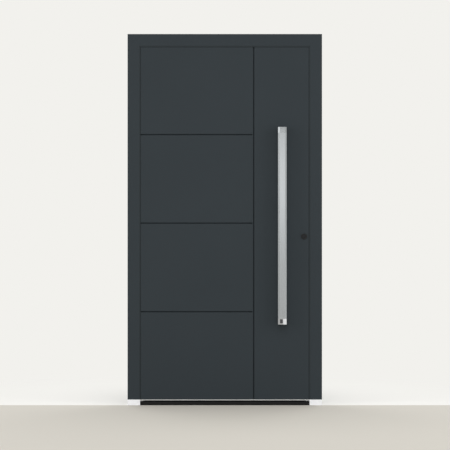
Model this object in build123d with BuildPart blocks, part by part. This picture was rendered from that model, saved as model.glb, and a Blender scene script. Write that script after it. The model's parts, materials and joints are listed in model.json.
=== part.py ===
"""Flush aluminium entrance door with its frame, threshold, pull handle and hinges.

X runs along the door, Y from outside (minus) to inside (plus) and Z up. The origin is on the
floor, in the middle of the frame's width and depth. All sizes are in millimetres.
"""

import os

from build123d import *

# Frame
frame_width = 1100.0
frame_height = 2100.0
frame_depth = 80.0
frame_face = 67.0  # width of the head and the jambs seen from outside
rebate_step = 22.0  # how far the opening widens behind the outer chamber
outer_chamber_depth = 28.0
thermal_break_depth = 16.0
profile_wall = 2.0
rebate_wall = 6.0  # thicker wall that holds the seal grooves and strike plates
profile_edge_radius = 0.8
break_web = 3.0
break_web_inset = 5.0
foot_height = 32.0

# Threshold
threshold_height = 20.0
threshold_nose_height = 17.5
threshold_nose_setback = 10.0  # tread's front edge behind the nose
nose_rib_bottom = 6.0
nose_undercut = 6.0
tread_groove_width = 3.0
tread_groove_depth = 0.8
tread_groove_pitch = 9.0
tread_groove_count = 5

# Leaf
leaf_gap = 7.5  # running gap between leaf and frame on three sides
leaf_floor_gap = 8.0  # bottom rail above the threshold
skin_thickness = 2.5
outer_skin_return = 20.0
inner_skin_return = 8.5
skin_edge_radius = 1.5
stile_width = 38.0  # from the leaf's inner edge inwards
bottom_rail_height = 4.0
bottom_rail_setback = 1.0

# Grooves formed in the outer skin
groove_width = 7.0
groove_depth = 11.0
upright_groove_x = 163.4
lowest_groove_z = 529.0
groove_pitch = 501.0
level_groove_count = 3
groove_land = 4.0  # flat strip between the level grooves and the upright one

# Seals
seal_groove_width = 4.0
seal_groove_depth = 3.0
seal_foot_clearance = 0.2
seal_clearance = 1.2
stop_seal_width = 9.0
reveal_seal_thickness = 5.0
reveal_seal_setback = 0.5
bottom_seal_clearance = 0.5
bottom_seal_thickness = 4.0
bottom_seal_inset = 22.0  # from the leaf's outer and inner faces
seal_joint = 0.5

# Pull handle
pull_x = 323.6
pull_bottom_z = 460.0
pull_length = 1111.0
pull_width = 48.0
pull_thickness = 18.0
pull_projection = 65.0
pull_bevel_width = 9.0
pull_bevel_depth = 2.0
pull_wall = 2.0
pull_end_height = 32.0
pull_inset_width = 16.0
pull_inset_height = 23.0
pull_inset_depth = 2.0
pull_inset_recess = 0.8  # below the crown of the lower end
pull_inset_offset_x = -5.1
pull_inset_offset_z = 2.0
pull_inset_radius = 2.0
pull_inset_clearance = 0.1

# Lock, cylinder and inside lever
lock_backset = 48.8  # from the leaf's lip to the cylinder
cylinder_z = 954.8
lever_above_cylinder = 92.0
outer_rosette_radius = 16.0
outer_rosette_height = 5.0
plug_radius = 8.5
plug_recess = 1.5
plug_clearance = 0.15
keyway_width = 2.4
keyway_height = 9.0
keyway_depth = 8.0
inner_rosette_radius = 27.0
inner_rosette_height = 8.0
lever_radius = 9.5
lever_projection = 58.0
lever_length = 130.0
lever_chamfer = 1.5
lever_clearance = 0.15
faceplate_width = 24.0
faceplate_thickness = 3.0
faceplate_bottom_z = 120.0
faceplate_top_inset = 180.0  # below the top of the frame
faceplate_centre_y = 17.0
plate_clearance = 0.2
bolt_thickness = 12.0
bolt_height = 34.0
bolt_depth = 14.0
bolt_slot_clearance = 0.5
latch_above_cylinder = 80.0
deadbolt_below_cylinder = 30.0
hook_from_plate_end = 330.0
strike_length = 210.0
hook_strike_length = 120.0
strike_slot_margin = 4.0

# Hinges
hinge_end_inset = 260.0  # outer hinges from the floor and from the top of the frame
hinge_length = 120.0
hinge_leaf_knuckle = 44.0
hinge_knuckle_gap = 0.5
hinge_knuckle_radius = 11.0
hinge_pin_radius = 6.0
hinge_pin_clearance = 0.08
hinge_axis_standoff = 16.0
hinge_wing_width = 34.0
hinge_wing_thickness = 4.0
hinge_wing_gap = 3.0  # wing's near edge from the edge of what carries it
hinge_wing_radius = 6.0

# Wall fixings drilled through the jambs
fixing_radius = 5.0
fixing_bottom_z = 200.0
fixing_top_inset = 250.0
fixing_count = 4
fixing_y = 22.0

# Places worked out from the sizes above
half_width = frame_width / 2
front_y = -frame_depth / 2
back_y = frame_depth / 2
step_y = front_y + outer_chamber_depth
inner_y = step_y + thermal_break_depth
inner_face = frame_face - rebate_step
opening_half = half_width - frame_face
rebate_half = half_width - inner_face
foot_half = opening_half - leaf_gap / 2
leaf_half = opening_half - leaf_gap
lip_half = rebate_half - leaf_gap
leaf_top = frame_height - frame_face - leaf_gap
lip_top = frame_height - inner_face - leaf_gap
lip_y = step_y + leaf_gap
leaf_bottom = threshold_height + leaf_floor_gap
skin_bottom = leaf_bottom + bottom_rail_height
stile_inner = lip_half - stile_width
rail_top = lip_top - stile_width
outer_return_y = front_y + outer_skin_return
inner_return_y = back_y - inner_skin_return
tread_front_y = front_y + threshold_nose_setback
groove_heights = [lowest_groove_z + groove_pitch * i for i in range(level_groove_count)]
level_groove_end = upright_groove_x - groove_width / 2 - groove_land
lock_x = lip_half - lock_backset
lever_z = cylinder_z + lever_above_cylinder
faceplate_top_z = frame_height - faceplate_top_inset
latch_z = cylinder_z + latch_above_cylinder
deadbolt_z = cylinder_z - deadbolt_below_cylinder
hook_heights = (faceplate_bottom_z + hook_from_plate_end, faceplate_top_z - hook_from_plate_end)
bolt_heights = (hook_heights[0], deadbolt_z, latch_z, hook_heights[1])
hinge_x = -(rebate_half + lip_half) / 2
hinge_y = back_y + hinge_axis_standoff
hinge_heights = (hinge_end_inset, frame_height / 2, frame_height - hinge_end_inset)
fixing_span = frame_height - fixing_top_inset - fixing_bottom_z
fixing_pitch = fixing_span / (fixing_count - 1)
fixing_heights = [fixing_bottom_z + fixing_pitch * i for i in range(fixing_count)]
pull_front_y = front_y - pull_projection
pull_top_z = pull_bottom_z + pull_length

os.makedirs("parts", exist_ok=True)


def save(piece, name):
    """Label a finished piece and write it as its own STEP file."""
    piece.label = name
    export_step(piece, f"parts/{name}.step")


def area(x0, x1, y0, y1, mode=Mode.ADD):
    """Rectangle between two corners of the open sketch."""
    with Locations(((x0 + x1) / 2, (y0 + y1) / 2)):
        Rectangle(x1 - x0, y1 - y0, mode=mode)


def block(x0, x1, y0, y1, z0, z1, mode=Mode.ADD):
    """Box between two corners of the open part."""
    with Locations(((x0 + x1) / 2, (y0 + y1) / 2, (z0 + z1) / 2)):
        Box(x1 - x0, y1 - y0, z1 - z0, mode=mode)


# Frame members: each section is drawn with X from the wall side towards the opening
jamb_length = frame_height - foot_height
hinge_jamb_plane = Plane((-half_width, 0, foot_height), x_dir=(1, 0, 0), z_dir=(0, 0, 1))
lock_jamb_plane = Plane((half_width, 0, frame_height), x_dir=(-1, 0, 0), z_dir=(0, 0, -1))
head_plane = Plane((-half_width, 0, frame_height), x_dir=(0, 0, -1), z_dir=(1, 0, 0))
left_mitre = Plane((-half_width, 0, frame_height), x_dir=(0, 1, 0), z_dir=(1, 0, 1))
right_mitre = Plane((half_width, 0, frame_height), x_dir=(0, 1, 0), z_dir=(-1, 0, 1))
frame_members = {
    "hinge_jamb": (hinge_jamb_plane, jamb_length, [(left_mitre, Keep.BOTTOM)]),
    "lock_jamb": (lock_jamb_plane, jamb_length, [(right_mitre, Keep.BOTTOM)]),
    "head": (head_plane, frame_width, [(left_mitre, Keep.TOP), (right_mitre, Keep.TOP)]),
}
stop_seal_u = (inner_face + frame_face) / 2
reveal_seal_y = front_y + reveal_seal_setback + reveal_seal_thickness / 2


def outer_chamber():
    """Hollow outer shell with the grooves that take the two seals."""
    with Locations((frame_face / 2, (front_y + step_y) / 2)):
        RectangleRounded(frame_face, outer_chamber_depth, profile_edge_radius)
    area(
        profile_wall,
        frame_face - rebate_wall,
        front_y + profile_wall,
        step_y - rebate_wall,
        Mode.SUBTRACT,
    )
    half_groove = seal_groove_width / 2
    area(
        stop_seal_u - half_groove,
        stop_seal_u + half_groove,
        step_y - seal_groove_depth,
        step_y,
        Mode.SUBTRACT,
    )
    area(
        frame_face - seal_groove_depth,
        frame_face,
        reveal_seal_y - half_groove,
        reveal_seal_y + half_groove,
        Mode.SUBTRACT,
    )


def thermal_break():
    """Two insulating webs that tie the outer shell to the inner one."""
    area(break_web_inset, break_web_inset + break_web, step_y, inner_y)
    area(inner_face - break_web_inset - break_web, inner_face - break_web_inset, step_y, inner_y)


def inner_chamber():
    """Hollow inner shell, with the thick wall on the rebate side."""
    with Locations((inner_face / 2, (inner_y + back_y) / 2)):
        RectangleRounded(inner_face, back_y - inner_y, profile_edge_radius)
    area(
        profile_wall,
        inner_face - rebate_wall,
        inner_y + profile_wall,
        back_y - profile_wall,
        Mode.SUBTRACT,
    )


def stop_seal():
    """Domed seal that the leaf's lip closes on, with its foot in the groove."""
    half_foot = seal_groove_width / 2 - seal_foot_clearance
    area(
        stop_seal_u - half_foot,
        stop_seal_u + half_foot,
        step_y - seal_groove_depth + seal_foot_clearance,
        step_y,
    )
    dome = stop_seal_width / 2
    crown = lip_y - seal_clearance
    with BuildLine() as outline:
        foot_line = Line((stop_seal_u - dome, step_y), (stop_seal_u + dome, step_y))
        ThreePointArc(foot_line @ 1, (stop_seal_u, crown), foot_line @ 0)
    make_face(outline.edges())


def reveal_seal():
    """Tongue that closes the gap just behind the outer face."""
    half_foot = seal_groove_width / 2 - seal_foot_clearance
    area(
        frame_face - seal_groove_depth + seal_foot_clearance,
        frame_face,
        reveal_seal_y - half_foot,
        reveal_seal_y + half_foot,
    )
    half_tongue = reveal_seal_thickness / 2
    area(
        frame_face,
        frame_face + leaf_gap - seal_clearance,
        reveal_seal_y - half_tongue,
        reveal_seal_y + half_tongue,
    )


def frame_member(name, section, joint=0.0):
    """Extrude one section along a member of the frame and mitre its corners."""
    plane, length, mitres = frame_members[name]
    with BuildPart() as member:
        with BuildSketch(plane):
            section()
        extrude(amount=length)
        for mitre, side in mitres:
            shift = -joint if side == Keep.BOTTOM else joint
            split(bisect_by=mitre.offset(shift), keep=side)
    return member.part


for member_name in frame_members:
    save(frame_member(member_name, outer_chamber), f"{member_name}_outer_profile")
    save(frame_member(member_name, thermal_break), f"{member_name}_thermal_break")

save(frame_member("head", inner_chamber), "head_inner_profile")

with BuildPart() as hinge_jamb_inner:
    add(frame_member("hinge_jamb", inner_chamber))
    with BuildSketch(Plane.YZ.offset(-half_width)):
        with Locations([(fixing_y, z) for z in fixing_heights]):
            Circle(fixing_radius)
    extrude(amount=inner_face, mode=Mode.SUBTRACT)
save(hinge_jamb_inner.part, "hinge_jamb_inner_profile")

plate_y0 = faceplate_centre_y - faceplate_width / 2
plate_y1 = faceplate_centre_y + faceplate_width / 2
slot_y0 = faceplate_centre_y - bolt_thickness / 2 - bolt_slot_clearance
slot_y1 = faceplate_centre_y + bolt_thickness / 2 + bolt_slot_clearance
strike_x = rebate_half + faceplate_thickness
main_strike_z = (latch_z + deadbolt_z) / 2
strikes = {
    "lower_strike_plate": (hook_heights[0], hook_strike_length, [hook_heights[0]]),
    "main_strike_plate": (main_strike_z, strike_length, [deadbolt_z, latch_z]),
    "upper_strike_plate": (hook_heights[1], hook_strike_length, [hook_heights[1]]),
}

with BuildPart() as lock_jamb_inner:
    add(frame_member("lock_jamb", inner_chamber))
    with BuildSketch(Plane.YZ.offset(half_width)):
        with Locations([(fixing_y, z) for z in fixing_heights]):
            Circle(fixing_radius)
    extrude(amount=-inner_face, mode=Mode.SUBTRACT)
    for strike_z, length, _ in strikes.values():
        pocket_half = length / 2 + plate_clearance
        pocket_y0, pocket_y1 = plate_y0 - plate_clearance, plate_y1 + plate_clearance
        pocket_z0, pocket_z1 = strike_z - pocket_half, strike_z + pocket_half
        block(rebate_half, strike_x, pocket_y0, pocket_y1, pocket_z0, pocket_z1, Mode.SUBTRACT)
save(lock_jamb_inner.part, "lock_jamb_inner_profile")

for strike_name, (strike_z, length, slots) in strikes.items():
    with BuildPart() as strike:
        plate_z0, plate_z1 = strike_z - length / 2, strike_z + length / 2
        block(rebate_half, strike_x, plate_y0, plate_y1, plate_z0, plate_z1)
        for slot_z in slots:
            slot_half = bolt_height / 2 + strike_slot_margin
            slot_z0, slot_z1 = slot_z - slot_half, slot_z + slot_half
            block(rebate_half, strike_x, slot_y0, slot_y1, slot_z0, slot_z1, Mode.SUBTRACT)
    save(strike.part, strike_name)

# Seals of the frame: three strips each, a hair apart at the mitres
with BuildPart() as stop_seals:
    for member_name in frame_members:
        add(frame_member(member_name, stop_seal, seal_joint))
save(stop_seals.part, "stop_seal")

with BuildPart() as reveal_seals:
    for member_name in frame_members:
        add(frame_member(member_name, reveal_seal, seal_joint))
save(reveal_seals.part, "reveal_seal")

# Foot blocks under the jambs, stepped like them and reaching half-way into the leaf's gap
for side_name, side in (("hinge", -1), ("lock", 1)):
    with BuildPart() as foot:
        with BuildSketch():
            with BuildLine():
                Polyline(
                    (side * half_width, front_y),
                    (side * foot_half, front_y),
                    (side * foot_half, step_y),
                    (side * rebate_half, step_y),
                    (side * rebate_half, back_y),
                    (side * half_width, back_y),
                    close=True,
                )
            make_face()
        extrude(amount=foot_height)
    save(foot.part, f"{side_name}_side_foot_block")

# Threshold: base with the nose rib, and the grooved tread on top
with BuildPart() as threshold_base:
    with BuildSketch(Plane.YZ.offset(-rebate_half)):
        with BuildLine():
            Polyline(
                (front_y + nose_undercut, 0),
                (back_y, 0),
                (back_y, threshold_nose_height),
                (front_y, threshold_nose_height),
                (front_y, nose_rib_bottom),
                (front_y + nose_undercut, nose_rib_bottom),
                close=True,
            )
        make_face()
    extrude(amount=2 * rebate_half)
    for side in (-1, 1):
        x0, x1 = sorted((side * foot_half, side * rebate_half))
        block(x0, x1, front_y, step_y, 0, threshold_nose_height, Mode.SUBTRACT)
save(threshold_base.part, "threshold_base")

with BuildPart() as threshold_tread:
    tread_z0, tread_z1 = threshold_nose_height, threshold_height
    block(-rebate_half, rebate_half, tread_front_y, back_y, tread_z0, tread_z1)
    for side in (-1, 1):
        x0, x1 = sorted((side * foot_half, side * rebate_half))
        block(x0, x1, tread_front_y, step_y, tread_z0, tread_z1, Mode.SUBTRACT)
    for i in range(tread_groove_count):
        groove_y = back_y - tread_groove_pitch * (i + 1)
        groove_floor = threshold_height - tread_groove_depth
        block(
            -rebate_half,
            rebate_half,
            groove_y - tread_groove_width / 2,
            groove_y + tread_groove_width / 2,
            groove_floor,
            threshold_height,
            Mode.SUBTRACT,
        )
save(threshold_tread.part, "threshold_tread")

# Leaf: outer skin, a folded tray with formed grooves
cylinder_plane = Plane((lock_x, front_y, cylinder_z), x_dir=(1, 0, 0), z_dir=(0, -1, 0))
skin_y = front_y + skin_thickness
channel_y = skin_y + groove_depth
channel_half = groove_width / 2 + skin_thickness
groove_floor_y = front_y + groove_depth
with BuildPart() as outer_skin:
    block(-leaf_half, leaf_half, front_y, outer_return_y, skin_bottom, leaf_top)
    face_edges = outer_skin.faces().sort_by(Axis.Y)[0].edges()
    fillet(face_edges, skin_edge_radius)
    inner_half = leaf_half - skin_thickness
    tray_z0, tray_z1 = skin_bottom + skin_thickness, leaf_top - skin_thickness
    block(-inner_half, inner_half, skin_y, outer_return_y, tray_z0, tray_z1, Mode.SUBTRACT)
    upright_x0, upright_x1 = upright_groove_x - channel_half, upright_groove_x + channel_half
    block(upright_x0, upright_x1, skin_y, channel_y, tray_z0, tray_z1)
    for z in groove_heights:
        level_end = level_groove_end + skin_thickness
        block(-inner_half, level_end, skin_y, channel_y, z - channel_half, z + channel_half)
    half_groove = groove_width / 2
    upright_x0, upright_x1 = upright_groove_x - half_groove, upright_groove_x + half_groove
    block(upright_x0, upright_x1, front_y, groove_floor_y, skin_bottom, leaf_top, Mode.SUBTRACT)
    for z in groove_heights:
        z0, z1 = z - half_groove, z + half_groove
        block(-leaf_half, level_groove_end, front_y, groove_floor_y, z0, z1, Mode.SUBTRACT)
    with BuildSketch(cylinder_plane):
        Circle(plug_radius + plug_clearance)
    extrude(amount=-frame_depth, mode=Mode.SUBTRACT)
save(outer_skin.part, "outer_skin")

# Leaf: inner skin, a shallow tray as wide as the lip
with BuildPart() as inner_skin:
    block(-lip_half, lip_half, inner_return_y, back_y, leaf_bottom, lip_top)
    face_edges = inner_skin.faces().sort_by(Axis.Y)[-1].edges()
    fillet(face_edges, skin_edge_radius)
    inner_half = lip_half - skin_thickness
    inner_skin_y = back_y - skin_thickness
    tray_z0, tray_z1 = leaf_bottom + skin_thickness, lip_top - skin_thickness
    block(-inner_half, inner_half, inner_return_y, inner_skin_y, tray_z0, tray_z1, Mode.SUBTRACT)
    with BuildSketch(cylinder_plane):
        Circle(plug_radius + plug_clearance)
    extrude(amount=-frame_depth, mode=Mode.SUBTRACT)
save(inner_skin.part, "inner_skin")

# Leaf: solid edge profiles with the step that forms the lip, mitred at the top corners
lip_left_mitre = Plane((-lip_half, 0, lip_top), x_dir=(0, 1, 0), z_dir=(1, 0, 1))
lip_right_mitre = Plane((lip_half, 0, lip_top), x_dir=(0, 1, 0), z_dir=(-1, 0, 1))
faceplate_x = lip_half - faceplate_thickness
bolt_x = faceplate_x - bolt_depth


def stile_outline(side):
    """Plan of one upright edge profile, on the given side of the leaf."""
    with BuildLine() as outline:
        Polyline(
            (side * stile_inner, outer_return_y),
            (side * leaf_half, outer_return_y),
            (side * leaf_half, lip_y),
            (side * lip_half, lip_y),
            (side * lip_half, inner_return_y),
            (side * stile_inner, inner_return_y),
            close=True,
        )
    make_face(outline.edges())


with BuildPart() as hinge_stile:
    with BuildSketch(Plane.XY.offset(leaf_bottom)):
        stile_outline(-1)
    extrude(amount=lip_top - leaf_bottom)
    split(bisect_by=lip_left_mitre, keep=Keep.BOTTOM)
save(hinge_stile.part, "hinge_edge_profile")

with BuildPart() as lock_stile:
    with BuildSketch(Plane.XY.offset(leaf_bottom)):
        stile_outline(1)
    extrude(amount=lip_top - leaf_bottom)
    split(bisect_by=lip_right_mitre, keep=Keep.BOTTOM)
    pocket_y0, pocket_y1 = plate_y0 - plate_clearance, plate_y1 + plate_clearance
    pocket_z0 = faceplate_bottom_z - plate_clearance
    pocket_z1 = faceplate_top_z + plate_clearance
    block(faceplate_x, lip_half, pocket_y0, pocket_y1, pocket_z0, pocket_z1, Mode.SUBTRACT)
    for z in bolt_heights:
        slot_half = bolt_height / 2 + bolt_slot_clearance
        block(bolt_x, lip_half, slot_y0, slot_y1, z - slot_half, z + slot_half, Mode.SUBTRACT)
save(lock_stile.part, "lock_edge_profile")

with BuildPart() as top_rail:
    with BuildSketch(Plane.YZ.offset(-lip_half)):
        with BuildLine():
            Polyline(
                (outer_return_y, rail_top),
                (outer_return_y, leaf_top),
                (lip_y, leaf_top),
                (lip_y, lip_top),
                (inner_return_y, lip_top),
                (inner_return_y, rail_top),
                close=True,
            )
        make_face()
    extrude(amount=2 * lip_half)
    split(bisect_by=lip_left_mitre, keep=Keep.TOP)
    split(bisect_by=lip_right_mitre, keep=Keep.TOP)
save(top_rail.part, "top_edge_profile")

with BuildPart() as bottom_rail:
    rail_y = front_y + bottom_rail_setback
    block(-leaf_half, leaf_half, rail_y, outer_return_y, leaf_bottom, skin_bottom)
    block(-stile_inner, stile_inner, outer_return_y, inner_return_y, leaf_bottom, skin_bottom)
    block(
        upright_groove_x - groove_width / 2,
        upright_groove_x + groove_width / 2,
        rail_y,
        groove_floor_y,
        leaf_bottom,
        skin_bottom,
        Mode.SUBTRACT,
    )
save(bottom_rail.part, "bottom_rail")

with BuildPart() as bottom_seal:
    seal_z0 = threshold_height + bottom_seal_clearance
    for seal_y in (front_y + bottom_seal_inset, back_y - bottom_seal_inset):
        seal_y0, seal_y1 = seal_y - bottom_seal_thickness / 2, seal_y + bottom_seal_thickness / 2
        block(-stile_inner, stile_inner, seal_y0, seal_y1, seal_z0, leaf_bottom)
save(bottom_seal.part, "bottom_seal")

# Leaf: foam core that fills the space between the skins and the edge profiles
with BuildPart() as foam_core:
    block(-stile_inner, stile_inner, outer_return_y, inner_return_y, skin_bottom, rail_top)
    core_half = leaf_half - skin_thickness
    core_z0, core_z1 = skin_bottom + skin_thickness, leaf_top - skin_thickness
    block(-core_half, core_half, skin_y, outer_return_y, core_z0, core_z1)
    core_half = lip_half - skin_thickness
    core_z0, core_z1 = leaf_bottom + skin_thickness, lip_top - skin_thickness
    block(-core_half, core_half, inner_return_y, inner_skin_y, core_z0, core_z1)
    channel_x0, channel_x1 = upright_groove_x - channel_half, upright_groove_x + channel_half
    block(channel_x0, channel_x1, skin_y, channel_y, skin_bottom, leaf_top, Mode.SUBTRACT)
    for z in groove_heights:
        level_end = level_groove_end + skin_thickness
        z0, z1 = z - channel_half, z + channel_half
        block(-leaf_half, level_end, skin_y, channel_y, z0, z1, Mode.SUBTRACT)
    with BuildSketch(cylinder_plane):
        Circle(plug_radius + plug_clearance)
    extrude(amount=-frame_depth, mode=Mode.SUBTRACT)
save(foam_core.part, "foam_core")

# Lock: faceplate let into the edge, with the bolts drawn back flush with it
with BuildPart() as faceplate:
    block(faceplate_x, lip_half, plate_y0, plate_y1, faceplate_bottom_z, faceplate_top_z)
    for z in bolt_heights:
        slot_half = bolt_height / 2 + bolt_slot_clearance
        block(faceplate_x, lip_half, slot_y0, slot_y1, z - slot_half, z + slot_half, Mode.SUBTRACT)
save(faceplate.part, "lock_faceplate")

bolt_y0 = faceplate_centre_y - bolt_thickness / 2
bolt_y1 = faceplate_centre_y + bolt_thickness / 2
bolt_groups = {"latch_bolt": (latch_z,), "dead_bolt": (deadbolt_z,), "hook_bolts": hook_heights}
for bolt_name, heights in bolt_groups.items():
    with BuildPart() as bolt:
        for z in heights:
            block(bolt_x, lip_half, bolt_y0, bolt_y1, z - bolt_height / 2, z + bolt_height / 2)
    save(bolt.part, bolt_name)

# Cylinder through the leaf, with a rosette on each face
plug_front = outer_rosette_height - plug_recess
plug_back = frame_depth + inner_rosette_height - plug_recess
with BuildPart() as lock_cylinder:
    with BuildSketch(cylinder_plane.offset(plug_front)):
        Circle(plug_radius)
    extrude(amount=-plug_front - plug_back)
    for keyway_level, direction in ((plug_front, -1), (-plug_back, 1)):
        with BuildSketch(cylinder_plane.offset(keyway_level)):
            Rectangle(keyway_width, keyway_height)
        extrude(amount=direction * keyway_depth, mode=Mode.SUBTRACT)
save(lock_cylinder.part, "lock_cylinder")


def rosette(plane, radius, height, bore):
    """Round cover plate with its bore."""
    with BuildPart() as cover:
        with BuildSketch(plane):
            Circle(radius)
            Circle(bore, mode=Mode.SUBTRACT)
        extrude(amount=height)
    return cover.part


inner_cylinder_plane = Plane((lock_x, back_y, cylinder_z), x_dir=(1, 0, 0), z_dir=(0, 1, 0))
lever_plane = Plane((lock_x, back_y, lever_z), x_dir=(1, 0, 0), z_dir=(0, 1, 0))
plug_bore = plug_radius + plug_clearance
outer_rosette = rosette(cylinder_plane, outer_rosette_radius, outer_rosette_height, plug_bore)
save(outer_rosette, "outer_rosette")
inner_rosette = rosette(
    inner_cylinder_plane, inner_rosette_radius, inner_rosette_height, plug_bore
)
save(inner_rosette, "inner_rosette")
lever_bore = lever_radius + lever_clearance
lever_rosette = rosette(lever_plane, inner_rosette_radius, inner_rosette_height, lever_bore)
save(lever_rosette, "lever_rosette")

with BuildPart() as inside_lever:
    grip_y = back_y + lever_projection
    with BuildLine() as lever_path:
        Polyline(
            (lock_x, back_y, lever_z),
            (lock_x, grip_y, lever_z),
            (lock_x - lever_length, grip_y, lever_z),
        )
    with BuildSketch(lever_plane):
        Circle(lever_radius)
    sweep(path=lever_path.wires()[0], transition=Transition.RIGHT)
    lever_tip = inside_lever.faces().sort_by(Axis.X)[0]
    chamfer(lever_tip.edges(), lever_chamfer)
save(inside_lever.part, "inside_lever")


# Pull handle: a hollow bevelled bar on a foot at the top and an end block at the bottom
def pull_outline(back):
    """Plan of the bar with its bevelled front, back to the given depth."""
    half, flat = pull_width / 2, pull_width / 2 - pull_bevel_width
    shoulder = pull_front_y + pull_bevel_depth
    with BuildLine() as outline:
        Polyline(
            (pull_x - half, back),
            (pull_x - half, shoulder),
            (pull_x - flat, pull_front_y),
            (pull_x + flat, pull_front_y),
            (pull_x + half, shoulder),
            (pull_x + half, back),
            close=True,
        )
    make_face(outline.edges())


pull_back_y = pull_front_y + pull_thickness
pull_bar_z = pull_bottom_z + pull_end_height
with BuildPart() as pull_bar:
    with BuildSketch(Plane.XY.offset(pull_bar_z)):
        pull_outline(pull_back_y)
    extrude(amount=pull_top_z - pull_bar_z)
    with BuildSketch(Plane.XY.offset(pull_bar_z)):
        pull_outline(pull_back_y)
        offset(amount=-pull_wall, kind=Kind.INTERSECTION, mode=Mode.REPLACE)
    extrude(amount=pull_top_z - pull_bar_z - pull_wall, mode=Mode.SUBTRACT)
save(pull_bar.part, "pull_bar")

with BuildPart() as pull_upper_foot:
    foot_x0, foot_x1 = pull_x - pull_width / 2, pull_x + pull_width / 2
    block(foot_x0, foot_x1, pull_back_y, front_y, pull_top_z - pull_end_height, pull_top_z)
save(pull_upper_foot.part, "pull_upper_foot")

inset_x = pull_x + pull_inset_offset_x
inset_z = pull_bottom_z + pull_end_height / 2 + pull_inset_offset_z
inset_y = pull_front_y + pull_inset_recess
inset_plane = Plane((inset_x, inset_y, inset_z), x_dir=(1, 0, 0), z_dir=(0, -1, 0))
with BuildPart() as pull_lower_end:
    with BuildSketch(Plane.XY.offset(pull_bottom_z)):
        with BuildLine():
            sides = Polyline(
                (pull_x - pull_width / 2, pull_front_y + pull_bevel_depth),
                (pull_x - pull_width / 2, front_y),
                (pull_x + pull_width / 2, front_y),
                (pull_x + pull_width / 2, pull_front_y + pull_bevel_depth),
            )
            ThreePointArc(sides @ 0, (pull_x, pull_front_y), sides @ 1)
        make_face()
    extrude(amount=pull_end_height)
    with BuildSketch(inset_plane.offset(-pull_inset_depth)):
        RectangleRounded(pull_inset_width, pull_inset_height, pull_inset_radius)
    extrude(amount=pull_inset_depth + pull_inset_recess, mode=Mode.SUBTRACT)
save(pull_lower_end.part, "pull_lower_end")

with BuildPart() as pull_inset:
    inset_width = pull_inset_width - 2 * pull_inset_clearance
    inset_height = pull_inset_height - 2 * pull_inset_clearance
    with BuildSketch(inset_plane):
        RectangleRounded(inset_width, inset_height, pull_inset_radius - pull_inset_clearance)
    extrude(amount=-pull_inset_depth)
save(pull_inset.part, "pull_inset")

# Hinges: a wing on each inner face, the frame's knuckles carrying the pin
wing_y = back_y + hinge_wing_thickness
frame_wing_x = -rebate_half - hinge_wing_gap
leaf_wing_x = -lip_half + hinge_wing_gap


def knuckle(side, wing_x):
    """Plan of a wing's web and the knuckle it carries, side -1 frame and 1 leaf."""
    with Locations((hinge_x, hinge_y)):
        Circle(hinge_knuckle_radius)
    with BuildLine() as web:
        Polyline(
            (wing_x, back_y),
            (wing_x + side * hinge_knuckle_radius, wing_y),
            (hinge_x + side * hinge_knuckle_radius, hinge_y),
            (hinge_x, hinge_y),
            close=True,
        )
    make_face(web.edges())


for hinge_name, hinge_z in zip(("bottom", "middle", "top"), hinge_heights):
    z_low, z_high = hinge_z - hinge_length / 2, hinge_z + hinge_length / 2
    leaf_low, leaf_high = hinge_z - hinge_leaf_knuckle / 2, hinge_z + hinge_leaf_knuckle / 2
    with BuildPart() as frame_hinge:
        block(frame_wing_x - hinge_wing_width, frame_wing_x, back_y, wing_y, z_low, z_high)
        with BuildSketch(Plane.XY.offset(z_low)):
            knuckle(-1, frame_wing_x)
        extrude(amount=leaf_low - hinge_knuckle_gap - z_low)
        with BuildSketch(Plane.XY.offset(leaf_high + hinge_knuckle_gap)):
            knuckle(-1, frame_wing_x)
        extrude(amount=z_high - leaf_high - hinge_knuckle_gap)
        with BuildSketch(Plane.XY.offset(z_low)):
            with Locations((hinge_x, hinge_y)):
                Circle(hinge_pin_radius)
        extrude(amount=hinge_length)
        wing_corners = frame_hinge.edges().filter_by(Axis.Y).sort_by(Axis.X)[:2]
        fillet(wing_corners, hinge_wing_radius)
    save(frame_hinge.part, f"{hinge_name}_hinge_frame_side")
    with BuildPart() as leaf_hinge:
        block(leaf_wing_x, leaf_wing_x + hinge_wing_width, back_y, wing_y, z_low, z_high)
        with BuildSketch(Plane.XY.offset(leaf_low)):
            knuckle(1, leaf_wing_x)
            with Locations((hinge_x, hinge_y)):
                Circle(hinge_pin_radius + hinge_pin_clearance, mode=Mode.SUBTRACT)
        extrude(amount=hinge_leaf_knuckle)
        wing_corners = leaf_hinge.edges().filter_by(Axis.Y).sort_by(Axis.X)[-2:]
        fillet(wing_corners, hinge_wing_radius)
    save(leaf_hinge.part, f"{hinge_name}_hinge_leaf_side")
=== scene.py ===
import json
import math

import bmesh
import bpy
from bpy.props import FloatProperty, FloatVectorProperty, PointerProperty
from mathutils import Matrix, Vector


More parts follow.
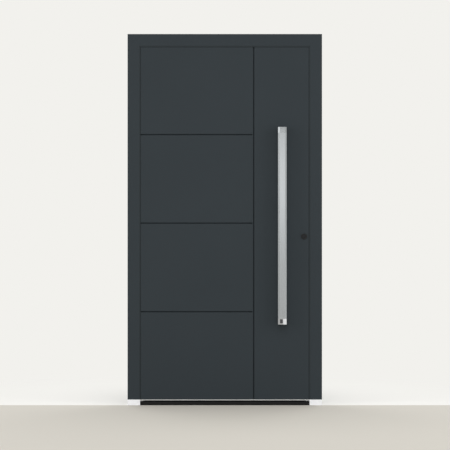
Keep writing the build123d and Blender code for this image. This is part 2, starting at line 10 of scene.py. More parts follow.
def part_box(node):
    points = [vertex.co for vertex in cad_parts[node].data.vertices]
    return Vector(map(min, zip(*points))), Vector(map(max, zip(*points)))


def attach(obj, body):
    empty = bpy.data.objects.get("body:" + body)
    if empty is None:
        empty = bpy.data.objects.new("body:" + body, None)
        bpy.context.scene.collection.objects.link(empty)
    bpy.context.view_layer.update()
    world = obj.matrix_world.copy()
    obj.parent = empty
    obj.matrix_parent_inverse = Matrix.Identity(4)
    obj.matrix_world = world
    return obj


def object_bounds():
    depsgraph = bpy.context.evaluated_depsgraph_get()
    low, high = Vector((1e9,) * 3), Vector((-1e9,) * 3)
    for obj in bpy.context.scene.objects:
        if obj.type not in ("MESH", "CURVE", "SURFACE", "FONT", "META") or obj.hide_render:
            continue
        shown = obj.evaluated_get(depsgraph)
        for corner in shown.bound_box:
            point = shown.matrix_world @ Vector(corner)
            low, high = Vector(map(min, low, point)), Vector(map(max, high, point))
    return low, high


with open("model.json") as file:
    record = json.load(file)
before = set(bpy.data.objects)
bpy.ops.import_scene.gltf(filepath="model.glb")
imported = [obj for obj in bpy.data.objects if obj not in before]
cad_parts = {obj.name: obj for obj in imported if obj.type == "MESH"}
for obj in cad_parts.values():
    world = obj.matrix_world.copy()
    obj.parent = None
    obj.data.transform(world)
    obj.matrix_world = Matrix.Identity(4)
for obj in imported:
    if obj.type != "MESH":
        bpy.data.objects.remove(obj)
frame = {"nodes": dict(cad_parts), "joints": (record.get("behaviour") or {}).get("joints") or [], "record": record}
cad_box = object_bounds()

bl_info = {
    "name": "Aluminium Entrance Door Finish",
    "version": (1, 0, 0),
    "blender": (4, 5, 0),
    "location": "View3D > Sidebar > Entrance Door",
    "description": "Finishes, fasteners and studio for a flush aluminium entrance door",
    "category": "Object",
}


def linear(hex_colour):
    """Turn an sRGB hex colour into linear red, green, blue and alpha."""
    channels = [int(hex_colour[i : i + 2], 16) / 255 for i in (1, 3, 5)]
    levels = [c / 12.92 if c <= 0.04045 else ((c + 0.055) / 1.055) ** 2.4 for c in channels]
    return (*levels, 1.0)


def toned(colour, factor):
    """Colour made lighter or darker by a factor."""
    return (*(factor * level for level in colour[:3]), 1.0)


def per_metre(size_mm):
    """Texture scale that gives one feature for each length in millimetres."""
    return 1000 / size_mm


def colour_property(name, description, hex_colour):
    """Colour that a user can change, with its default as an sRGB hex value."""
    return FloatVectorProperty(
        name=name,
        description=description,
        subtype="COLOR",
        size=4,
        min=0.0,
        max=1.0,
        default=linear(hex_colour),
    )


def length_property(name, description, default):
    """Length in metres that a user can change."""
    return FloatProperty(name=name, description=description, default=default, min=0.0, unit="LENGTH")


def power_property(name, description, default):
    """Power of a light in watts that a user can change."""
    return FloatProperty(name=name, description=description, default=default, min=0.0, unit="POWER")


class DoorColours(bpy.types.PropertyGroup):
    """Colours of the door's finishes."""

    coat: colour_property("Powder coat", "Leaf and frame seen from both sides", "#343A3E")
    edge_coat: colour_property("Edge coat", "Edges of the leaf and the fixing caps", "#2E3235")
    brushed_steel: colour_property("Brushed steel", "Pull bar, lever and lock plates", "#A6AAAD")
    polished_steel: colour_property("Polished steel", "End block at the foot of the pull bar", "#AEAFB1")
    bare_aluminium: colour_property("Bare aluminium", "Rail along the leaf's foot", "#E4E6E8")
    white_plastic: colour_property("White plastic", "Foot blocks under the jambs", "#F4F5F8")
    threshold: colour_property("Threshold", "Nose and base of the threshold", "#131313")
    rubber: colour_property("Seal rubber", "Seals behind the leaf and under it", "#131314")
    reveal: colour_property("Reveal seal", "Seal in the gap around the leaf", "#2C3235")
    lock_black: colour_property("Lock black", "Rosette around the lock cylinder", "#101011")


class DoorSizes(bpy.types.PropertyGroup):
    """Sizes and places of the fasteners."""

    hinge_screw: length_property("Hinge screw head", "Diameter of the screws in the hinge wings", 0.009)
    hinge_screw_side: length_property(
        "Hinge screw side", "From a wing's outer edge to its first row of screws", 0.008
    )
    hinge_screw_pitch: length_property("Hinge screw pitch", "Between the rows of screws in a wing", 0.016)
    hinge_screw_end: length_property("Hinge screw end", "From a wing's ends to its screws", 0.012)
    hinge_wing: length_property("Hinge wing", "Thickness of the hinge wings on the inner faces", 0.004)
    plate_screw: length_property(
        "Plate screw head", "Diameter of the screws in the faceplate and the strike plates", 0.008
    )
    plate_screw_end: length_property("Plate screw end", "From a plate's ends to its screws", 0.012)
    plate_screw_clear: length_property(
        "Plate screw clearance", "From a bolt to the next screw in the faceplate", 0.028
    )
    tread_screw: length_property("Tread screw head", "Diameter of the screws along the threshold", 0.008)
    tread_screw_row: length_property("Tread screw row", "From the tread's front edge to its screws", 0.014)
    set_screw: length_property("Set screw", "Diameter of the set screw under the lever's neck", 0.005)
    set_screw_reach: length_property("Set screw reach", "From the lever's root to its set screw", 0.02)
    fixing_cap: length_property("Fixing cap", "Diameter of the plastic caps over the wall fixings", 0.014)
    rim_radius: length_property("Rosette rim", "Rounding of the rosettes' rims", 0.0012)


class StageSettings(bpy.types.PropertyGroup):
    """Studio around the door."""

    floor: colour_property("Floor", "Floor in front of the door", "#CECAC1")
    backdrop: colour_property("Backdrop", "Background and the floor behind the door", "#F2F1ED")
    sky_level: FloatProperty(
        name="Sky level",
        description="Even light from all around",
        default=0.75,
        min=0.0,
    )
    side_power: power_property("Side lights", "Soft light on each side in front of the door", 58.0)
    rear_power: power_property("Rear lights", "Soft light on each side behind the door", 58.0)
    top_power: power_property("Top light", "Soft light high up in front of the door", 42.0)
    glow_power: power_property("Handle glow", "Light that shows in the middle of the pull bar", 2.3)
    card_power: power_property("Cards", "Small lights that show in the handle's polished ends", 0.21)
    camera_distance: length_property("Camera distance", "From the camera to the frame's front", 10.6)
    camera_height: length_property("Camera height", "From the floor to the camera", 1.0196)
    camera_side: length_property("Camera side", "From the door's middle to the camera", 0.0012)
    view_width: length_property("View width", "Width of the picture at the frame's front", 2.5457)


def add_node(tree, kind, settings=None, sockets=None):
    """Add a node, set its options and fill its sockets with values or links."""
    node = tree.nodes.new(kind)
    for name, value in (settings or {}).items():
        setattr(node, name, value)
    for name, value in (sockets or {}).items():
        if isinstance(value, bpy.types.NodeSocket):
            tree.links.new(value, node.inputs[name])
        else:
            node.inputs[name].default_value = value
    return node


def new_material(name):
    """Empty node material and its tree."""
    material = bpy.data.materials.new(name)
    material.use_nodes = True
    material.node_tree.nodes.clear()
    return material, material.node_tree


def finish_surface(tree, shader):
    """Connect a shader to the material's output."""
    add_node(tree, "ShaderNodeOutputMaterial", sockets={"Surface": shader.outputs[0]})


def seen_or_reflected(tree):
    """Socket that is 1 for rays from the camera and for those that metal or glass sends on."""
    path = add_node(tree, "ShaderNodeLightPath")
    seen = path.outputs["Is Camera Ray"]
    for ray in ("Is Glossy Ray", "Is Transmission Ray"):
        either = {0: seen, 1: path.outputs[ray]}
        seen = add_node(tree, "ShaderNodeMath", {"operation": "MAXIMUM"}, either).outputs[0]
    return seen


# Most of a noise texture's values lie between these two
noise_low, noise_high = 0.3, 0.7
# How far a grain moves the roughness of a coat or of brushed metal to each side
grain_spread = 0.04
# Roughness of polished steel
polish = 0.14


def powder_coat(name, colour, roughness=0.52):
    """Matt powder coat baked on aluminium: an even colour, a soft sheen and a very fine pebble."""
    material, tree = new_material(name)
    place = add_node(tree, "ShaderNodeTexCoord").outputs["Object"]
    # The coat's pebble is about 0.4 mm wide, drawn at 4 mm so that it shows
    pebble = add_node(
        tree,
        "ShaderNodeTexNoise",
        sockets={"Vector": place, "Scale": per_metre(4), "Detail": 2.0},
    )
    # Slow drift of the coat's thickness over about half a metre
    drift = add_node(
        tree,
        "ShaderNodeTexNoise",
        sockets={"Vector": place, "Scale": per_metre(500), "Detail": 3.0},
    )
    shade = add_node(
        tree,
        "ShaderNodeMix",
        {"data_type": "RGBA"},
        {0: drift.outputs["Fac"], 6: toned(colour, 0.94), 7: toned(colour, 1.06)},
    )
    gloss = add_node(
        tree,
        "ShaderNodeMapRange",
        sockets={
            "Value": pebble.outputs["Fac"],
            "From Min": noise_low,
            "From Max": noise_high,
            "To Min": roughness - grain_spread,
            "To Max": roughness + grain_spread,
        },
    )
    bump = add_node(
        tree,
        "ShaderNodeBump",
        sockets={"Height": pebble.outputs["Fac"], "Strength": 0.06, "Distance": 0.0004},
    )
    shader = add_node(
        tree,
        "ShaderNodeBsdfPrincipled",
        sockets={
            "Base Color": shade.outputs[2],
            "Roughness": gloss.outputs["Result"],
            "Normal": bump.outputs["Normal"],
            "IOR": 1.5,
            "Specular IOR Level": 0.05,
        },
    )
    finish_surface(tree, shader)
    return material


def brushed_metal(name, colour, along, roughness=0.3, polished_above=None):
    """Metal ground along its length: fine straight lines, and clear reflections where polished."""
    material, tree = new_material(name)
    place = add_node(tree, "ShaderNodeTexCoord").outputs["Object"]
    # Grinding lines are about 0.2 mm wide, drawn at 1 mm so that they show, and 120 mm long
    stretch = [per_metre(1)] * 3
    stretch["XYZ".index(along)] = per_metre(120)
    lines = add_node(tree, "ShaderNodeMapping", sockets={"Vector": place, "Scale": stretch})
    grain = add_node(
        tree,
        "ShaderNodeTexNoise",
        sockets={"Vector": lines.outputs["Vector"], "Scale": 1.0, "Detail": 4.0},
    )
    shade = add_node(
        tree,
        "ShaderNodeMix",
        {"data_type": "RGBA"},
        {0: grain.outputs["Fac"], 6: toned(colour, 0.94), 7: list(colour)},
    )
    gloss = add_node(
        tree,
        "ShaderNodeMapRange",
        sockets={
            "Value": grain.outputs["Fac"],
            "From Min": noise_low,
            "From Max": noise_high,
            "To Min": roughness - grain_spread,
            "To Max": roughness + grain_spread,
        },
    ).outputs["Result"]
    if polished_above is not None:
        parts = add_node(tree, "ShaderNodeSeparateXYZ", sockets={"Vector": place})
        band = add_node(
            tree,
            "ShaderNodeMath",
            {"operation": "GREATER_THAN"},
            {0: parts.outputs["Z"], 1: polished_above},
        )
        gloss = add_node(
            tree, "ShaderNodeMix", sockets={0: band.outputs[0], 2: gloss, 3: polish}
        ).outputs[0]
    bump = add_node(
        tree,
        "ShaderNodeBump",
        sockets={"Height": grain.outputs["Fac"], "Strength": 0.06, "Distance": 0.0003},
    )
    shader = add_node(
        tree,
        "ShaderNodeBsdfPrincipled",
        sockets={
            "Base Color": shade.outputs[2],
            "Metallic": 1.0,
            "Roughness": gloss,
            "Normal": bump.outputs["Normal"],
        },
    )
    finish_surface(tree, shader)
    return material


def smooth_metal(name, colour, roughness, smear_mm=60.0):
    """Polished, plated or anodised metal: clear reflections, a little dulled by handling."""
    material, tree = new_material(name)
    place = add_node(tree, "ShaderNodeTexCoord").outputs["Object"]
    smear = add_node(
        tree,
        "ShaderNodeTexNoise",
        sockets={"Vector": place, "Scale": per_metre(smear_mm), "Detail": 5.0},
    )
    gloss = add_node(
        tree,
        "ShaderNodeMapRange",
        sockets={
            "Value": smear.outputs["Fac"],
            "From Min": noise_low,
            "From Max": noise_high,
            "To Min": roughness * 0.8,
            "To Max": roughness * 1.25,
        },
    )
    shader = add_node(
        tree,
        "ShaderNodeBsdfPrincipled",
        sockets={"Base Color": colour, "Metallic": 1.0, "Roughness": gloss.outputs["Result"]},
    )
    finish_surface(tree, shader)
    return material


def moulded(name, colour, roughness, grain_mm, sheen=0.5):
    """Moulded plastic or extruded rubber: a dull skin with a fine even grain."""
    material, tree = new_material(name)
    place = add_node(tree, "ShaderNodeTexCoord").outputs["Object"]
    # The grain is finer than 1 mm, drawn at a few millimetres so that it shows
    grain = add_node(
        tree,
        "ShaderNodeTexNoise",
        sockets={"Vector": place, "Scale": per_metre(grain_mm), "Detail": 3.0},
    )
    shade = add_node(
        tree,
        "ShaderNodeMix",
        {"data_type": "RGBA"},
        {0: grain.outputs["Fac"], 6: toned(colour, 0.93), 7: list(colour)},
    )
    bump = add_node(
        tree,
        "ShaderNodeBump",
        sockets={"Height": grain.outputs["Fac"], "Strength": 0.15, "Distance": 0.0003},
    )
    shader = add_node(
        tree,
        "ShaderNodeBsdfPrincipled",
        sockets={
            "Base Color": shade.outputs[2],
            "Roughness": roughness,
            "Normal": bump.outputs["Normal"],
            "IOR": 1.5,
            "Specular IOR Level": sheen,
        },
    )
    finish_surface(tree, shader)
    return material


def coat_nodes(material, *names):
    """Give CAD nodes their finish."""
    for name in names:
        node = frame["nodes"][name]
        node.data.materials.clear()
        node.data.materials.append(material)


def names_with(*words):
    """CAD nodes whose names hold any of the words."""
    return [name for name in frame["nodes"] if any(word in name for word in words)]


def new_object(name, builder, material):
    """Turn a finished bmesh into an object of the scene."""
    mesh = bpy.data.meshes.new(name)
    builder.to_mesh(mesh)
    builder.free()
    mesh.materials.append(material)
    item = bpy.data.objects.new(name, mesh)
    bpy.context.scene.collection.objects.link(item)
    return item


def new_piece(name, builder, material, body):
    """Turn a finished bmesh into a piece that rides on a body of the door."""
    piece = new_object(name, builder, material)
    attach(piece, body)


def add_round(builder, lower_radius, upper_radius, lower, upper, segments):
    """Add a round form between two heights and give its upper face."""
    middle = (lower + upper) / 2
    verts = bmesh.ops.create_cone(
        builder,
        cap_ends=True,
        segments=segments,
        radius1=lower_radius,
        radius2=upper_radius,
        depth=upper - lower,
        matrix=Matrix.Translation((0, 0, middle)),
    )["verts"]
    rim = [vert for vert in verts if vert.co.z > middle]
    return next(face for face in rim[0].link_faces if all(vert in rim for vert in face.verts))


def set_down(builder, start, place, facing):
    """Turn the vertices from a number on to face a direction, and move them to a place."""
    builder.verts.ensure_lookup_table()
    turn = Vector((0, 0, 1)).rotation_difference(facing).to_matrix().to_4x4()
    bmesh.ops.transform(builder, matrix=Matrix.Translation(place) @ turn, verts=builder.verts[start:])


def add_screw(builder, place, facing, diameter):
    """Add a countersunk screw with a low dome and a hexagon socket, its rim at the place given."""
    start = len(builder.verts)
    shank_radius, head_radius, head_depth = 0.3 * diameter, 0.5 * diameter, 0.4 * diameter
    dome_width, dome_rise = 0.1 * diameter, 0.06 * diameter
    flat_width, socket_depth = 0.12 * diameter, 0.2 * diameter
    top = add_round(builder, shank_radius, head_radius, -head_depth, 0, segments=24)
    bmesh.ops.inset_individual(builder, faces=[top], thickness=dome_width, depth=dome_rise)
    bmesh.ops.inset_individual(builder, faces=[top], thickness=flat_width)
    half_side = math.pi / 6
    for vert in top.verts:
        from_middle = math.atan2(vert.co.y, vert.co.x) % (2 * half_side) - half_side
        vert.co.xy *= math.cos(half_side) / math.cos(from_middle)
    socket = bmesh.ops.extrude_discrete_faces(builder, faces=[top])["faces"][0]
    bmesh.ops.translate(builder, verts=socket.verts, vec=(0, 0, -socket_depth))
    set_down(builder, start, place, facing)


def add_cap(builder, place, facing, diameter):
    """Add a low domed cap that lies on a face at the place given."""
    start = len(builder.verts)
    foot_radius, rim_radius, rim_height = 0.5 * diameter, 0.46 * diameter, 0.11 * diameter
    top = add_round(builder, foot_radius, rim_radius, 0, rim_height, segments=32)
    # Each ring of the dome is wider and flatter than the one outside it
    for width, rise in ((0.12, 0.02), (0.14, 0.015), (0.16, 0.01)):
        bmesh.ops.inset_individual(builder, faces=[top], thickness=width * diameter, depth=rise * diameter)
    for face in builder.faces:
        face.smooth = True
    set_down(builder, start, place, facing)


def screw_set(name, places, facing, diameter, material, body):
    """Piece made of like screws, each at its own place."""
    builder = bmesh.new()
    for place in places:
        add_screw(builder, place, facing, diameter)
    new_piece(name, builder, material, body)


class DOOR_OT_coated_metal(bpy.types.Operator):
    """Powder coat the frame profiles and the leaf"""

    bl_idname = "door.coated_metal"
    bl_label = "Coated Metal"

    def execute(self, context):
        colours = context.scene.door_colours
        # An even matt anthracite, so that leaf and frame read as one plane
        coat = powder_coat("Anthracite powder coat", colours.coat)
        coat_nodes(coat, "outer_skin", "inner_skin", *names_with("_outer_profile", "_inner_profile"))
        # A darker and duller coat on the edges, which show when the leaf is open
        edge = powder_coat("Edge profile coat", colours.edge_coat, roughness=0.6)
        coat_nodes(edge, *names_with("_edge_profile"))
        return {"FINISHED"}


class DOOR_OT_seals_and_plastic(bpy.types.Operator):
    """Finish the seals, thermal breaks, foot blocks and the foam core, and cap the wall fixings"""

    bl_idname = "door.seals_and_plastic"
    bl_label = "Seals and Plastic"

    def execute(self, context):
        colours = context.scene.door_colours
        # Black and dull, so that the joint reads as shadow
        rubber = moulded("Extruded seal rubber", colours.rubber, roughness=0.75, grain_mm=3, sheen=0.2)
        coat_nodes(rubber, "stop_seal", "bottom_seal")
        # Dark grey and dull, so that the gap around the leaf is a faint line
        grey = moulded("Grey reveal seal rubber", colours.reveal, roughness=0.7, grain_mm=3, sheen=0.15)
        coat_nodes(grey, "reveal_seal")
        # Clean white with a soft gloss
        white = moulded("White moulded plastic", colours.white_plastic, roughness=0.45, grain_mm=4)
        coat_nodes(white, *names_with("_foot_block"))
        # Near black with a faint gloss between the two frame profiles
        black = linear("#1A1A1B")
        polyamide = moulded("Black glass-filled polyamide", black, roughness=0.6, grain_mm=3)
        coat_nodes(polyamide, *names_with("_thermal_break"))
        # Pale yellow and dry
        foam = moulded("Rigid insulating foam", linear("#D9CFA6"), roughness=0.9, grain_mm=2)
        coat_nodes(foam, "foam_core")
        self.cap_fixings(colours, context.scene.door_sizes)
        return {"FINISHED"}

    def cap_fixings(self, colours, sizes):
        """Cover the wall fixings on the inner faces of the jambs."""
        # Dark grey with a soft gloss on the dome
        cap = moulded("Grey fixing cap plastic", colours.edge_coat, roughness=0.5, grain_mm=4)
        builder = bmesh.new()
        for mount in frame["record"]["mounts"]:
            if mount["kind"] != "bolt_pattern":
                continue
            outward = mount["axis"][0]
            _, depth, middle_z = mount["pos_m"]
            jamb = "hinge" if outward < 0 else "lock"
            low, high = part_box(f"{jamb}_jamb_inner_profile")
            face_x = high[0] if outward < 0 else low[0]
            half_pitch = mount["dims"]["spacing_y_mm"] / 1000 / 2
            for z in (middle_z - half_pitch, middle_z + half_pitch):
                add_cap(builder, Vector((face_x, depth, z)), Vector((-outward, 0, 0)), sizes.fixing_cap)
        new_piece("fixing_caps", builder, cap, "frame")


class DOOR_OT_threshold(bpy.types.Operator):
    """Finish the threshold and the bare rail above it, and screw the tread down"""

    bl_idname = "door.threshold"
    bl_label = "Threshold"

    def execute(self, context):
        colours = context.scene.door_colours
        sizes = context.scene.door_sizes
        # Black with a faint gloss along the rib of the nose
        base = moulded(
            "Black threshold plastic", colours.threshold, roughness=0.55, grain_mm=4, sheen=0.2
        )
        coat_nodes(base, "threshold_base")
        # Dark metal on which the grooves show as fine lines of light
        tread = smooth_metal("Dark anodised aluminium", linear("#2A2A2B"), roughness=0.45)
        coat_nodes(tread, "threshold_tread")
        # A bright line under the leaf, with fine lines along it
        bare = brushed_metal(
            "Natural anodised aluminium", colours.bare_aluminium, along="X", roughness=0.4
        )
        coat_nodes(bare, "bottom_rail")
        # As dark as the tread and a little glossier
        dark = smooth_metal("Blackened tread screw", linear("#2E2E2F"), roughness=0.35, smear_mm=8)
        low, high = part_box("threshold_tread")
        row_share = 0.84
        half_row = row_share * (high[0] - low[0]) / 2
        row_y = low[1] + sizes.tread_screw_row
        places = [Vector((half_row * share, row_y, high[2])) for share in (-1, -1 / 3, 1 / 3, 1)]
        up = Vector((0, 0, 1))
        screw_set(
            "tread_screws", places, up, sizes.tread_screw, dark, "frame"
        )
        return {"FINISHED"}


class DOOR_OT_pull_handle(bpy.types.Operator):
    """Finish the pull bar, its upper foot and its lower end"""

    bl_idname = "door.pull_handle"
    bl_label = "Pull Handle"

    def execute(self, context):
        colours = context.scene.door_colours
        low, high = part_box("pull_lower_end")
        polished_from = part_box("pull_bar")[1][2] - (high[2] - low[2])
        # Silver grey with long soft reflections, clear at the upper end
        brushed = brushed_metal(
            "Brushed stainless steel",
            colours.brushed_steel,
            along="Z",
            polished_above=polished_from,
        )
        coat_nodes(brushed, "pull_bar", "pull_upper_foot")
        # Clear reflections, so that one side of the block is bright and the other dark
        polished = smooth_metal("Polished stainless steel", colours.polished_steel, roughness=polish)
        coat_nodes(polished, "pull_lower_end")
        # Dark and smooth with a soft gloss
        inset = moulded("Dark smooth plug", linear("#3A3B3E"), roughness=0.3, grain_mm=5)
        coat_nodes(inset, "pull_inset")
        return {"FINISHED"}


class DOOR_OT_lock(bpy.types.Operator):
    """Finish the lock, its plates and the inside lever, and screw them on"""

    bl_idname = "door.lock"
    bl_label = "Lock"

    def execute(self, context):
        colours = context.scene.door_colours
        sizes = context.scene.door_sizes
        # Near black and dull, darker than the leaf around it
        black = moulded(
            "Black coated rosette", colours.lock_black, roughness=0.45, grain_mm=3, sheen=0.25
        )
        coat_nodes(black, "outer_rosette")
        # Dark metal with a faint gleam around the keyway
        nickel = smooth_metal("Black nickel plated brass", linear("#2B2C2E"), roughness=0.4)
        coat_nodes(nickel, "lock_cylinder")
        # Silver grey with fine lines along the lever
        satin = brushed_metal("Satin stainless steel", colours.brushed_steel, along="X", roughness=0.34)
        coat_nodes(satin, "inside_lever", "inner_rosette", "lever_rosette")
        self.round_rims(sizes)
        # Silver grey with fine lines along the plates
        strip = brushed_metal("Stainless steel strip", colours.brushed_steel, along="Z", roughness=0.32)
        coat_nodes(strip, "lock_faceplate", *names_with("_strike_plate"))
        # Plain grey steel with blurred reflections
        bolts = smooth_metal("Hardened bolt steel", linear("#9B9C9E"), roughness=0.3)
        coat_nodes(bolts, "latch_bolt", "dead_bolt", "hook_bolts")
        self.add_screws(sizes)
        return {"FINISHED"}

    def round_rims(self, sizes):
        """Soften the rims of the rosettes."""
        merge_distance = 0.00001
        for name in ("outer_rosette", "inner_rosette", "lever_rosette"):
            rosette = frame["nodes"][name]
            rosette.modifiers.new("Weld", "WELD").merge_threshold = merge_distance
            rim = rosette.modifiers.new("Rim", "BEVEL")
            rim.width = sizes.rim_radius
            rim.segments = 3

    def add_screws(self, sizes):
        """Fix the lever with a set screw, and the plates with screws clear of the bolts."""
        # Small bright heads with blurred reflections
        plated = smooth_metal("Zinc plated screw", linear("#B8B9BB"), roughness=0.28, smear_mm=8)
        low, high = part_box("inside_lever")
        neck_radius = (high[2] - low[2]) / 2
        place = Vector((high[0] - neck_radius, low[1] + sizes.set_screw_reach, low[2]))
        below = Vector((0, 0, -1))
        screw_set("lever_set_screw", [place], below, sizes.set_screw, plated, "leaf")
        clear = sizes.plate_screw_clear
        beside_bolts = (
            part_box("hook_bolts")[0][2] - clear,
            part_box("dead_bolt")[0][2] - clear,
            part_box("latch_bolt")[1][2] + clear,
            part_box("hook_bolts")[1][2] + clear,
        )
        for plate in ("lock_faceplate", *names_with("_strike_plate")):
            low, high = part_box(plate)
            on_leaf = plate == "lock_faceplate"
            face_x = high[0] if on_leaf else low[0]
            middle_y = (low[1] + high[1]) / 2
            heights = [low[2] + sizes.plate_screw_end, high[2] - sizes.plate_screw_end]
            if on_leaf:
                heights.extend(beside_bolts)
            screw_set(
                f"{plate}_screws",
                [Vector((face_x, middle_y, z)) for z in heights],
                Vector((1 if on_leaf else -1, 0, 0)),
                sizes.plate_screw,
                plated,
                "leaf" if on_leaf else "frame",
            )


class DOOR_OT_hinges(bpy.types.Operator):
    """Finish the hinges, screw their wings on and cap their barrels"""

    bl_idname = "door.hinges"
    bl_label = "Hinges"

    def execute(self, context):
        sizes = context.scene.door_sizes
        # The door's anthracite, a little lighter and glossier on the barrels
        coat = powder_coat("Coated hinge metal", linear("#3A3E42"), roughness=0.45)
        coat_nodes(coat, *names_with("_hinge_"))
        self.add_screws(sizes)
        axis_x, axis_y, _ = frame["joints"][0]["pos_m"]
        builder = bmesh.new()
        for name in names_with("hinge_frame_side"):
            low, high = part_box(name)
            barrel = 2 * (high[1] - axis_y)
            add_cap(builder, Vector((axis_x, axis_y, high[2])), Vector((0, 0, 1)), barrel)
            add_cap(builder, Vector((axis_x, axis_y, low[2])), Vector((0, 0, -1)), barrel)
        new_piece("hinge_end_caps", builder, coat, "frame")
        return {"FINISHED"}

    def add_screws(self, sizes):
        """Screw each wing to the frame or the leaf with two rows of screws."""
        # Small bright heads that stand out from the dark wings
        plated = smooth_metal("Zinc plated hinge screw", linear("#A9AAAC"), roughness=0.28, smear_mm=8)
        wing_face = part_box("inner_skin")[1][1] + sizes.hinge_wing
        rows = (sizes.hinge_screw_side, sizes.hinge_screw_side + sizes.hinge_screw_pitch)
        end = sizes.hinge_screw_end
        for side, body in (("frame_side", "frame"), ("leaf_side", "leaf")):
            places = []
            for name in names_with(side):
                low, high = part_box(name)
                heights = (low[2] + end, high[2] - end)
                for row in rows:
                    x = low[0] + row if body == "frame" else high[0] - row
                    places.extend(Vector((x, wing_face, z)) for z in heights)
            screw_set(
                f"hinge_{side}_screws",
                places,
                Vector((0, 1, 0)),
                sizes.hinge_screw,
                plated,
                body,
            )


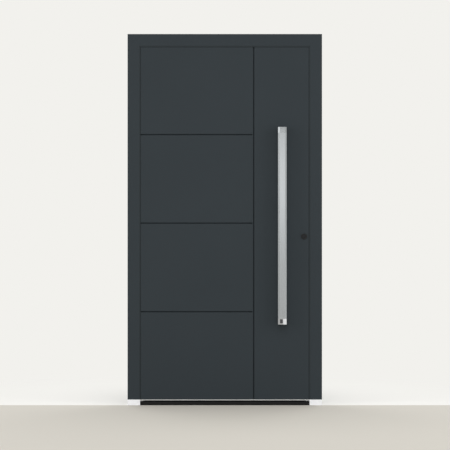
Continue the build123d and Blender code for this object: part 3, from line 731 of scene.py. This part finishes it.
class DOOR_OT_stage(bpy.types.Operator):
    """Set up the floor, the studio light and the camera"""

    bl_idname = "door.stage"
    bl_label = "Stage"

    def execute(self, context):
        scene = context.scene
        settings = scene.door_stage
        self.add_floors(settings)
        self.set_world(scene, settings)
        self.add_lights(settings)
        self.add_camera(scene, settings)
        scene.view_settings.view_transform = "Standard"
        return {"FINISHED"}

    def add_floors(self, settings):
        """Lay the floor in front of the door and a paler one behind it, which meet under the nose."""
        reach, under_nose = 60.0, 0.012
        foot_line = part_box("threshold_base")[0][1] + under_nose
        backdrop = settings.backdrop
        matt = self.fading_floor("Matt floor", settings.floor, backdrop, fade_from=2.6, fade_to=4.6)
        self.add_floor("Front floor", matt, reach, -reach, foot_line)
        pale = self.fading_floor("Pale floor", backdrop, backdrop, fade_from=0.6, fade_to=2.0)
        self.add_floor("Rear floor", pale, reach, foot_line, reach)

    def fading_floor(self, name, colour, backdrop, fade_from, fade_to):
        """Matt floor that keeps the door's shadow and runs out into the backdrop."""
        material, tree = new_material(name)
        place = add_node(tree, "ShaderNodeTexCoord").outputs["Object"]
        reach = add_node(tree, "ShaderNodeVectorMath", {"operation": "LENGTH"}, {0: place})
        fade = add_node(
            tree,
            "ShaderNodeMapRange",
            {"interpolation_type": "SMOOTHSTEP"},
            {"Value": reach.outputs["Value"], "From Min": fade_from, "From Max": fade_to},
        )
        share = add_node(
            tree,
            "ShaderNodeMath",
            {"operation": "MULTIPLY"},
            {0: fade.outputs["Result"], 1: seen_or_reflected(tree)},
        )
        matt = add_node(
            tree,
            "ShaderNodeBsdfPrincipled",
            sockets={"Base Color": colour, "Roughness": 0.9, "Specular IOR Level": 0.1},
        )
        glow = add_node(tree, "ShaderNodeEmission", sockets={"Color": backdrop, "Strength": 1.0})
        mix = add_node(
            tree,
            "ShaderNodeMixShader",
            sockets={0: share.outputs[0], 1: matt.outputs[0], 2: glow.outputs[0]},
        )
        finish_surface(tree, mix)
        return material

    def add_floor(self, name, material, width, near, far):
        """Flat floor between two depths, a hair below the door's foot."""
        hair = 0.0005
        builder = bmesh.new()
        bmesh.ops.create_grid(builder, x_segments=1, y_segments=1, size=0.5)
        bmesh.ops.scale(builder, vec=(width, far - near, 1.0), verts=builder.verts)
        bmesh.ops.translate(builder, vec=(0.0, (near + far) / 2, -hair), verts=builder.verts)
        floor = new_object(name, builder, material)

    def set_world(self, scene, settings):
        """Even light all around, with the pale backdrop where it is seen or reflected."""
        world = bpy.data.worlds.new("Studio")
        world.use_nodes = True
        tree = world.node_tree
        tree.nodes.clear()
        light = add_node(
            tree,
            "ShaderNodeBackground",
            sockets={"Color": linear("#FFFFFF"), "Strength": settings.sky_level},
        )
        backdrop = add_node(
            tree, "ShaderNodeBackground", sockets={"Color": settings.backdrop, "Strength": 1.0}
        )
        mix = add_node(
            tree,
            "ShaderNodeMixShader",
            sockets={0: seen_or_reflected(tree), 1: light.outputs[0], 2: backdrop.outputs[0]},
        )
        add_node(tree, "ShaderNodeOutputWorld", sockets={"Surface": mix.outputs[0]})
        scene.world = world

    def add_lights(self, settings):
        """Soft light all round and above, and cards that show in the pull handle."""
        low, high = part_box("pull_lower_end")
        foot = (Vector(low) + Vector(high)) / 2
        low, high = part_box("pull_bar")
        bar = (Vector(low) + Vector(high)) / 2
        tip = Vector((bar.x, bar.y, high[2]))
        middle = Vector((0.0, 0.0, cad_box[1][2] / 2))
        tall_box, top_box, card = (2.5, 3.4), (2.5, 1.5), (1.2, 0.6)
        for name, side in (("Left light", -1), ("Right light", 1)):
            beside, behind = (4.3 * side, -2.5, 1.7), (2.6 * side, 4.2, 1.7)
            self.add_softbox(name, beside, middle, tall_box, settings.side_power)
            self.add_softbox(f"Rear {name}", behind, middle, tall_box, settings.rear_power)
        above, before_bar = (0.2, -4.5, 4.2), (0.4, -2.1, 1.3)
        self.add_softbox("Top light", above, middle, top_box, settings.top_power)
        self.add_softbox("Glow card", before_bar, bar, card, settings.glow_power)
        low_right, high_left = (1.25, -3.7, 0.32), (-1.4, -3.7, 1.75)
        low_card = self.add_softbox("Low card", low_right, foot, card, settings.card_power)
        high_card = self.add_softbox("High card", high_left, tip, card, settings.card_power)
        low_card.spread = high_card.spread = math.radians(60)

    def add_softbox(self, name, place, target, size, power):
        """Rectangular soft light that faces a point."""
        data = bpy.data.lights.new(name, "AREA")
        data.shape = "RECTANGLE"
        data.size, data.size_y = size
        data.energy = power
        softbox = bpy.data.objects.new(name, data)
        softbox.location = place
        aim = target - softbox.location
        softbox.rotation_euler = aim.to_track_quat("-Z", "Y").to_euler()
        softbox.visible_camera = False
        bpy.context.scene.collection.objects.link(softbox)
        return data

    def add_camera(self, scene, settings):
        """Camera straight in front of the door at mid height, with a long lens."""
        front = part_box("lock_jamb_outer_profile")[0][1]
        distance = settings.camera_distance
        data = bpy.data.cameras.new("Camera")
        data.lens = data.sensor_width * distance / settings.view_width
        camera = bpy.data.objects.new("Camera", data)
        camera.location = (settings.camera_side, front - distance, settings.camera_height)
        camera.rotation_euler = (math.pi / 2, 0.0, 0.0)
        scene.collection.objects.link(camera)
        scene.camera = camera


class DOOR_PT_finish(bpy.types.Panel):
    """Finishes and fasteners of the entrance door"""

    bl_idname = "DOOR_PT_finish"
    bl_label = "Entrance Door"
    bl_space_type = "VIEW_3D"
    bl_region_type = "UI"
    bl_category = "Entrance Door"

    def draw(self, context):
        layout = self.layout
        for group in (context.scene.door_colours, context.scene.door_sizes, context.scene.door_stage):
            box = layout.box()
            for name in group.__annotations__:
                box.prop(group, name)
        for operator in operators:
            layout.operator(operator.bl_idname)


operators = (
    DOOR_OT_coated_metal,
    DOOR_OT_seals_and_plastic,
    DOOR_OT_threshold,
    DOOR_OT_pull_handle,
    DOOR_OT_lock,
    DOOR_OT_hinges,
    DOOR_OT_stage,
)
classes = (DoorColours, DoorSizes, StageSettings, *operators, DOOR_PT_finish)


def register():
    for cls in classes:
        bpy.utils.register_class(cls)
    bpy.types.Scene.door_colours = PointerProperty(type=DoorColours)
    bpy.types.Scene.door_sizes = PointerProperty(type=DoorSizes)
    bpy.types.Scene.door_stage = PointerProperty(type=StageSettings)


def unregister():
    del bpy.types.Scene.door_stage
    del bpy.types.Scene.door_sizes
    del bpy.types.Scene.door_colours
    for cls in reversed(classes):
        bpy.utils.unregister_class(cls)


def main():
    """Dress the door."""
    register()
    bpy.ops.door.coated_metal()
    bpy.ops.door.seals_and_plastic()
    bpy.ops.door.threshold()
    bpy.ops.door.pull_handle()
    bpy.ops.door.lock()
    bpy.ops.door.hinges()
    bpy.ops.door.stage()


if __name__ == "__main__":
    main()
